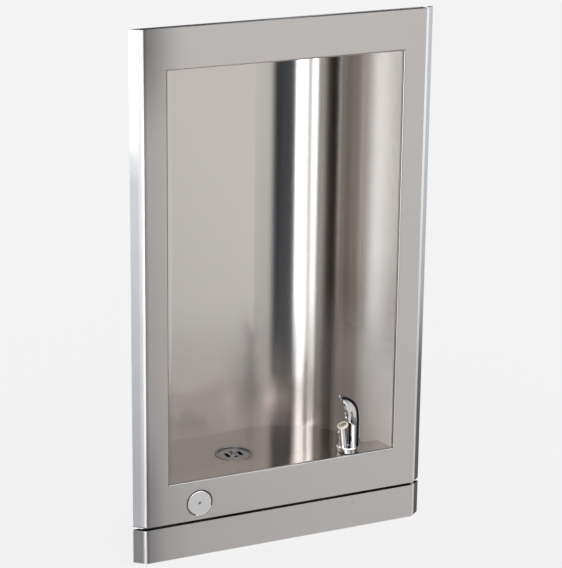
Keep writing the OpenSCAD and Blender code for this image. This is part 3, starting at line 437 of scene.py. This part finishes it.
def satinSteel(spec):
    made, graph = newMaterial("satinSteelSheet")
    axes = graph.axes()
    axes["aside"] = abs(axes["x"])
    streak = graph.noise(spec["streakGrain"], *coarseNoise)
    fine = graph.noise(spec["fineGrain"], *softNoise)
    cloud = graph.noise(spec["cloudGrain"], *softNoise)
    # painted shade on the face, towards its left edge and corners
    paintedShade = 0.0
    for limits, amount in spec["paintedShade"]:
        paintedShade = graph.zone(axes, limits) * amount + paintedShade
    tint = spec["tint"]
    # painted reflections and shade, zone by zone
    for limits, zoneTint in spec["zones"]:
        tint = graph.mixColour(graph.zone(axes, limits), tint, zoneTint)
    spotX, spotZ = spec["spot"]
    spot = ((axes["x"] - spotX) ** 2.0 + (axes["z"] - spotZ) ** 2.0) ** 0.5
    spot = (1.0 - graph.step(spot, *spec["spotEdge"])) * spec["spotShade"]
    # painted reflection: the dark line by the left bend
    line = graph.zone(axes, spec["line"]) * spec["lineShade"]
    shade = around(1.0, (streak, spec["streak"]), (fine, spec["fine"]), (cloud, spec["cloud"]))
    shade = shade * (1.0 - paintedShade * graph.zone(axes, spec["face"])) * (1.0 - line) * (1.0 - spot)
    rough = around(spec["rough"], (streak, spec["roughStreak"]), (cloud, spec["roughCloud"]))
    rough = rough - graph.zone(axes, spec["smoothTop"]) * spec["smoother"]
    coarse, thin = spec["lay"]
    lay = graph.bump(streak * coarse + fine * thin, spec["depth"], spec["strength"])
    wave = graph.noise(spec["waveGrain"], *spec["waveNoise"])
    lay = graph.bump(wave, spec["wave"], 1.0, lay)
    # painted highlight on the right bend
    rightBend = graph.zone(axes, spec["rightBend"])
    light = graph.spread(graph.step(axes["z"], *spec["rightBendRise"]), *spec["rightBendLight"])
    skin = graph.mixColour(rightBend, graph.scaled(tint, shade),
                           graph.scaled(spec["rightBendTint"], light))
    finishMaterial(graph, {"Base Color": skin, "Metallic": 1.0 - rightBend,
                           "Roughness": rough, "Anisotropic": spec["anisotropic"],
                           "Anisotropic Rotation": brushedAcross, "Normal": lay})
    return made


# the alcove's steel, painted darker low down: a painted shade for the darker things it mirrors
# there
alcove = {"tint": (0.935, 0.925, 0.92), "grain": (3.0, 3.0, 600.0), "cloudGrain": (7.0, 7.0, 5.0),
          "streak": 0.05, "fine": 0.03, "cloud": 0.05,
          "rough": 0.205, "roughStreak": 0.03, "roughCloud": 0.04,
          "anisotropic": 0.90, "finer": 5.0, "lay": (0.5, 0.5), "depth": 0.00001, "strength": 0.5,
          "low": {"z": (None, (0.15, 0.31))}, "lowDull": 0.27}
# the same steel on the curved wall, with painted reflection: it is painted darker and warmer along
# part of its quarter round, by the angle in degrees round the arc's centre, and has two painted
# darker stripes low down
alcoveWall = {
    **alcove,
    "fine": 0.0,
    "low": {"z": (None, (0.15, 0.31)), "x": (None, (0.100, 0.140))},
    # painted bounce light: the wall's lower right part is partly non-metal, so it shows brighter
    "paintedBounce": {"x": ((0.118, 0.150), None), "z": (None, (0.200, 0.330))},
    "paintedBounceShare": 0.5,
    "arc": (0.0363, 0.0515),
    "sweep": [
        (46, (1.0, 1.0, 1.0, 1)), (50, (0.45, 0.44, 0.43, 1)), (54, (0.30, 0.29, 0.29, 1)),
        (57, (0.36, 0.35, 0.34, 1)), (60, (0.50, 0.465, 0.44, 1)), (66, (0.52, 0.47, 0.43, 1)),
        (75, (0.58, 0.525, 0.49, 1)), (81, (0.88, 0.84, 0.82, 1)), (87, (1.0, 1.0, 1.0, 1))],
    "footLimits": {"z": (None, (0.15, 0.31))},
    "footSweep": [
        (22, grey(1.0)), (25, grey(0.75)), (27, grey(0.36)), (29, grey(0.36)), (31, grey(0.85)),
        (33, grey(1.0)), (37, grey(1.0)), (40, grey(0.50)), (43, grey(0.70)), (46, grey(1.0))],
}
# painted shade: the basin's steel has a darker, browner tint than the wall's; its floor has a
# painted reflection, a brighter track below the bright streak of the curved wall
basin = {"tint": (0.51, 0.455, 0.43), "grain": (3.0, 500.0, 600.0), "cloudGrain": (7.0, 7.0, 5.0),
         "streak": 0.06, "fine": 0.04, "cloud": 0.05,
         "rough": 0.13, "roughStreak": 0.03, "roughCloud": 0.04,
         "anisotropic": 0.0, "finer": 5.0, "lay": (0.5, 0.5), "depth": 0.00001, "strength": 0.5,
         "track": {"across": ((-0.001, 0.005), (0.009, 0.018))},
         "trackAt": (0.1034, 0.1510), "trackTurn": 25.69, "trackGain": 0.8}


def alcoveSteel(name, spec):
    made, graph = newMaterial(name)
    axes = graph.axes()
    x, y = axes["x"], axes["y"]
    streak = graph.noise(spec["grain"], *coarseNoise)
    fine = graph.noise([v * spec["finer"] for v in spec["grain"]], *softNoise)
    cloud = graph.noise(spec["cloudGrain"], *softNoise)
    shade = around(1.0, (streak, spec["streak"]), (fine, spec["fine"]), (cloud, spec["cloud"]))
    tint = spec["tint"]
    metal = 1.0
    # painted shade low down
    if "low" in spec:
        shade = shade * (1.0 - graph.zone(axes, spec["low"]) * spec["lowDull"])
    # painted reflection: a brighter track on the basin's floor
    if "track" in spec:
        trackX, trackY = spec["trackAt"]
        across = sideways(x - trackX, y - trackY, spec["trackTurn"])
        shade = shade * (1.0 + graph.zone({"across": across}, spec["track"]) * spec["trackGain"])
    # painted bounce light: part of the wall is made partly non-metal so it shows brighter
    if "paintedBounce" in spec:
        metal = 1.0 - graph.zone(axes, spec["paintedBounce"]) * spec["paintedBounceShare"]
    # painted reflection along the arc, with painted stripes low down
    if "sweep" in spec:
        arcX, arcY = spec["arc"]
        turned = graph.math("ARCTAN2", x - arcX, y - arcY) / math.pi

        def swept(colour, rows):
            ramp = graph.ramp(turned, [(angle / 180, shown) for angle, shown in rows])
            return graph.mixColour(1.0, colour, ramp, "MULTIPLY")

        tint = swept((*tint, 1), spec["sweep"])
        foot = swept(tint, spec["footSweep"])
        tint = graph.mixColour(graph.zone(axes, spec["footLimits"]), tint, foot)
    rough = around(spec["rough"], (streak, spec["roughStreak"]), (cloud, spec["roughCloud"]))
    coarse, thin = spec["lay"]
    lay = graph.bump(streak * coarse + fine * thin, spec["depth"], spec["strength"])
    finishMaterial(graph, {"Base Color": graph.scaled(tint, shade), "Metallic": metal,
                           "Roughness": rough, "Anisotropic": spec["anisotropic"],
                           "Anisotropic Rotation": brushedAcross, "Normal": lay})
    return made


metals = {
    "chrome": {"tint": (0.88, 0.89, 0.91), "grain": 60.0, "cloud": 0.03,
               "rough": 0.04, "patchy": 0.02, "depth": 0.000002},
    "drain_steel": {"tint": (0.37, 0.365, 0.365), "grain": 240.0, "cloud": 0.10,
                    "rough": 0.40, "patchy": 0.12, "depth": 0.00001},
    "button_steel": {"tint": (0.87, 0.88, 0.90), "grain": 240.0, "cloud": 0.06,
                     "rough": 0.34, "patchy": 0.10, "depth": 0.00001, "metallic": 0.75},
    "galvanised": {"tint": (0.62, 0.63, 0.64), "grain": 90.0, "cloud": 0.28,
                   "rough": 0.42, "patchy": 0.24, "depth": 0.00004},
    "brass": {"tint": (0.72, 0.52, 0.24), "grain": 120.0, "cloud": 0.16,
              "rough": 0.28, "patchy": 0.16, "depth": 0.00002},
    "copper": {"tint": (0.76, 0.42, 0.28), "grain": 60.0, "cloud": 0.18,
               "rough": 0.24, "patchy": 0.16, "depth": 0.00001},
    "spring_steel": {"tint": (0.52, 0.52, 0.53), "grain": 300.0, "cloud": 0.16,
                     "rough": 0.26, "patchy": 0.12, "depth": 0.00001},
    "dark_screw": {"tint": (0.20, 0.20, 0.21), "grain": 300.0, "cloud": 0.20,
                   "rough": 0.34, "patchy": 0.16, "depth": 0.00001},
}
drainFlange = {"tint": (0.27, 0.265, 0.26), "grain": 240.0, "cloud": 0.08,
               "rough": 0.30, "patchy": 0.10, "depth": 0.00001}


plainFiner = 12  # how much finer the grain of the bump is than the clouds


def plainMetal(name, spec):
    made, graph = newMaterial(name)
    cloud = graph.noise((spec["grain"],) * 3, *coarseNoise)
    fine = graph.noise((spec["grain"] * plainFiner,) * 3, *softNoise)
    shade = around(1.0, (cloud, spec["cloud"]))
    finishMaterial(graph, {"Base Color": graph.scaled(spec["tint"], shade),
                           "Metallic": spec.get("metallic", 1.0),
                           "Roughness": around(spec["rough"], (cloud, spec["patchy"])),
                           "Normal": graph.bump(fine, spec["depth"], softBump)})
    return made


rubber = {"dark": (0.018, 0.018, 0.019, 1), "light": (0.03, 0.03, 0.031, 1), "grain": 300.0,
          "rough": 0.55, "patchy": 0.2, "depth": 0.00004, "strength": 0.5}


def rubberBlack(spec):
    made, graph = newMaterial("blackRubber")
    cloud = graph.noise((spec["grain"],) * 3, *coarseNoise)
    finishMaterial(graph, {"Base Color": graph.mixColour(cloud, spec["dark"], spec["light"]),
                           "Roughness": cloud * spec["patchy"] + spec["rough"],
                           "Normal": graph.bump(cloud, spec["depth"], spec["strength"])})
    return made


# the nozzle's head leans to the left; its dish and the jet's hole are painted darker, a painted
# shade for these hollows
nozzleHead = {"centre": (0.0983, 0.0046, 0.1455), "lean": 22.0,
              "dishEdge": (0.0054, 0.0062), "dishFrom": (0.0016, 0.0020),
              "jetAt": 0.0024, "jetEdge": (0.0016, 0.0022),
              "light": (250, 245, 234), "dark": (238, 231, 217),
              "dishTint": (190, 185, 170), "jetTint": (38, 35, 33),
              "grain": 260.0, "rough": 0.24, "patchy": 0.12, "dishRough": 0.3, "depth": 0.00003}


def creamNozzle(spec):
    made, graph = newMaterial("creamSatin")
    dx, side, dz = (wire - middle for wire, middle in zip(graph.axes().values(), spec["centre"]))
    lean = math.radians(spec["lean"])
    along = dz * math.cos(lean) - dx * math.sin(lean)
    across = dx * math.cos(lean) + dz * math.sin(lean)
    radius = (across * across + side * side) ** 0.5
    dish = (1.0 - graph.step(radius, *spec["dishEdge"])) * graph.step(along, *spec["dishFrom"])
    offset = across - spec["jetAt"]
    jet = 1.0 - graph.step((offset * offset + side * side) ** 0.5, *spec["jetEdge"])
    cloud = graph.noise((spec["grain"],) * 3, *coarseNoise)
    skin = graph.mixColour(cloud, rgb(*spec["light"]), rgb(*spec["dark"]))
    # painted shade in the dish and the jet's hole
    skin = graph.mixColour(dish, skin, rgb(*spec["dishTint"]))
    skin = graph.mixColour(dish * jet, skin, rgb(*spec["jetTint"]))
    rough = cloud * spec["patchy"] + dish * spec["dishRough"] + spec["rough"]
    finishMaterial(graph, {"Base Color": skin, "Metallic": 0.0, "Roughness": rough,
                           "Normal": graph.bump(cloud, spec["depth"], softBump)})
    return made


# painted shade: the gap between the bubbler's two columns is painted dark; painted reflection: a
# dark band along the back of the taller column and of the hood above it, for the dark room
# mirrored there
bubbler = {"tint": (0.88, 0.89, 0.91, 1), "rough": 0.04, "patchy": 0.02, "cloud": 0.03,
           "cloudGrain": 60.0, "fineGrain": 700.0, "depth": 0.000002,
           "gap": {"x": ((0.1062, 0.1066), (0.1081, 0.1086)),
                   "z": ((0.1178, 0.1186), (0.156, 0.166))},
           "gapTint": (0.03, 0.03, 0.035, 1),
           # the hood's arc: its centre, the radius of its middle line, and the column's middle
           "arc": (0.0875, 0.15705), "arcMean": 0.0277, "arcBlend": 0.0002, "middleY": 0.0046,
           "viewTurn": camera["yaw"],
           # the band lies further out along the hood's crest
           "crestRise": (0.160, 0.178), "crestInner": 0.00306, "crestOuter": 0.0018,
           "bandInner": (0.0024, 0.0034), "bandOuter": (0.0061, 0.0067),
           "bandFrom": (0.1165, 0.1180), "bandTint": (0.022, 0.028, 0.045, 1)}


def bubblerChrome(spec):
    made, graph = newMaterial("bubblerChrome")
    axes = graph.axes()
    x, y, z = axes.values()
    gap = graph.zone(axes, spec["gap"])
    arcX, arcZ = spec["arc"]
    blend = spec["arcBlend"]
    above = graph.step(z, arcZ - blend, arcZ + blend)
    overArc = ((x - arcX) ** 2.0 + (z - arcZ) ** 2.0) ** 0.5 - spec["arcMean"]
    outward = (x - arcX - spec["arcMean"]) * (1.0 - above) + overArc * above
    across = sideways(outward, y - spec["middleY"], spec["viewTurn"])
    crest = graph.step(z, *spec["crestRise"])
    inner = graph.step(across, *(crest * spec["crestInner"] + edge for edge in spec["bandInner"]))
    outer = graph.step(across, *(crest * spec["crestOuter"] + edge for edge in spec["bandOuter"]))
    band = inner * (1.0 - outer) * graph.step(z, *spec["bandFrom"]) * (1.0 - gap)
    # painted shade in the gap, and a painted reflection in the band
    tint = graph.mixColour(gap, spec["tint"], spec["gapTint"])
    tint = graph.mixColour(band, tint, spec["bandTint"])
    cloud = graph.noise((spec["cloudGrain"],) * 3, *coarseNoise)
    fine = graph.noise((spec["fineGrain"],) * 3, *softNoise)
    shade = around(1.0, (cloud, spec["cloud"]))
    finishMaterial(graph, {"Base Color": graph.scaled(tint, shade), "Metallic": 1.0,
                           "Roughness": around(spec["rough"], (cloud, spec["patchy"])),
                           "Normal": graph.bump(fine, spec["depth"], softBump)})
    return made


# by material slot, then the pieces with a finish of their own
finishes = {slotName: plainMetal(slotName + "_finish", spec) for slotName, spec in metals.items()}
finishes["satin_steel"] = satinSteel(satin)
finishes["alcove_steel"] = alcoveSteel("alcoveSteelSheet", alcove)
finishes["rubber"] = rubberBlack(rubber)
finishes["cream_nozzle"] = creamNozzle(nozzleHead)
for thing in nodes.values():
    for held in thing.material_slots:
        held.material = finishes[held.material.name]

ownFinishes = {"basin": alcoveSteel("basinSteelSheet", basin),
               "alcove_wall": alcoveSteel("curvedWallSteel", alcoveWall),
               "bubbler_body": bubblerChrome(bubbler),
               "drain_body": plainMetal("drainFlangeSteel", drainFlange)}
for nodeName, finish in ownFinishes.items():
    nodes[nodeName].material_slots[0].material = finish
print("materials given:", len(finishes) + len(ownFinishes))


# the two front sheets again, with rounder bends and eased folds that catch the light;
# the bend starts onReturn before the corner and ends onFace after it
frontSheets = {"corner": (0.201, -0.0125), "reach": 0.0011, "onReturn": 0.0062, "onFace": 0.0016,
               "flare": math.atan2(12.5, 15.0), "fold": 0.0011, "foldSteps": 3,
               "foldAngle": 50, "foldFront": -0.002, "level": 1e-5, "weld": 1e-6, "sharpAngle": 32}


def bendPoint(spec, t):  # t runs 0 to 1 from the return to the face, on a curve round the corner
    flare = spec["flare"]
    start = Vector((math.cos(flare), math.sin(flare))) * spec["onReturn"]
    end = Vector((-1.0, 0.0)) * spec["onFace"]
    return (1 - t) ** 2 * start + t ** 2 * end


def roundBends(shape, spec):
    cornerX, cornerY = spec["corner"]
    reach = spec["reach"]
    for v in shape.verts:
        side = 1 if v.co.x > 0 else -1
        away = Vector((v.co.x - side * cornerX, v.co.y - cornerY))
        if away.length < reach:
            moved = bendPoint(spec, min(1.0, max(0.0, (reach - away.x * side) / (2 * reach))))
            v.co.x = side * (cornerX + moved.x)
            v.co.y = cornerY + moved.y


def easeFolds(shape, spec):
    heights = [v.co.z for v in shape.verts]
    ends = (min(heights), max(heights))

    def onFold(edge):
        if len(edge.link_faces) != 2:
            return False
        if edge.calc_face_angle(0) < math.radians(spec["foldAngle"]) or not edge.is_convex:
            return False
        points = [v.co for v in edge.verts]
        level = any(all(abs(c.z - end) < spec["level"] for c in points) for end in ends)
        return level and all(c.y < spec["foldFront"] for c in points)

    folds = [e for e in shape.edges if onFold(e)]
    bmesh.ops.bevel(shape, geom=folds, offset=spec["fold"], offset_type="OFFSET",
                    segments=spec["foldSteps"], profile=0.5, affect="EDGES", material=-1,
                    clamp_overlap=True)
    return len(folds)


def easedSheet(nodeName, name, spec):
    shape = bmesh.new()
    shape.from_mesh(nodes[nodeName].data)
    bmesh.ops.remove_doubles(shape, verts=shape.verts, dist=spec["weld"])
    roundBends(shape, spec)
    folds = easeFolds(shape, spec)
    for face in shape.faces:
        face.smooth = True
    sharp = math.radians(spec["sharpAngle"])
    for edge in shape.edges:
        edge.smooth = len(edge.link_faces) == 2 and edge.calc_face_angle(0) < sharp
    mesh = bpy.data.meshes.new(name)
    shape.to_mesh(mesh)
    shape.free()
    for spare in [a.name for a in mesh.attributes if a.name == "custom_normal"]:
        mesh.attributes.remove(mesh.attributes[spare])
    piece = bpy.data.objects.new(name, mesh)
    scene.collection.objects.link(piece)
    mesh.materials.clear()
    mesh.materials.append(finishes["satin_steel"])
    weigh = piece.modifiers.new("evenFaces", "WEIGHTED_NORMAL")
    weigh.keep_sharp = True
    weigh.weight = 100
    bpy.context.view_layer.update()
    evaluated = piece.evaluated_get(bpy.context.evaluated_depsgraph_get())
    made = bpy.data.meshes.new_from_object(evaluated)
    piece.modifiers.clear()
    piece.data = made
    print(name, "folds eased:", folds)
    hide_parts(nodeName)
    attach(piece, "cabinet")


easedSheet("front_frame", "frontFrameSheet", frontSheets)
easedSheet("lower_panel", "lowerPanelSheet", frontSheets)
print("front sheets eased")
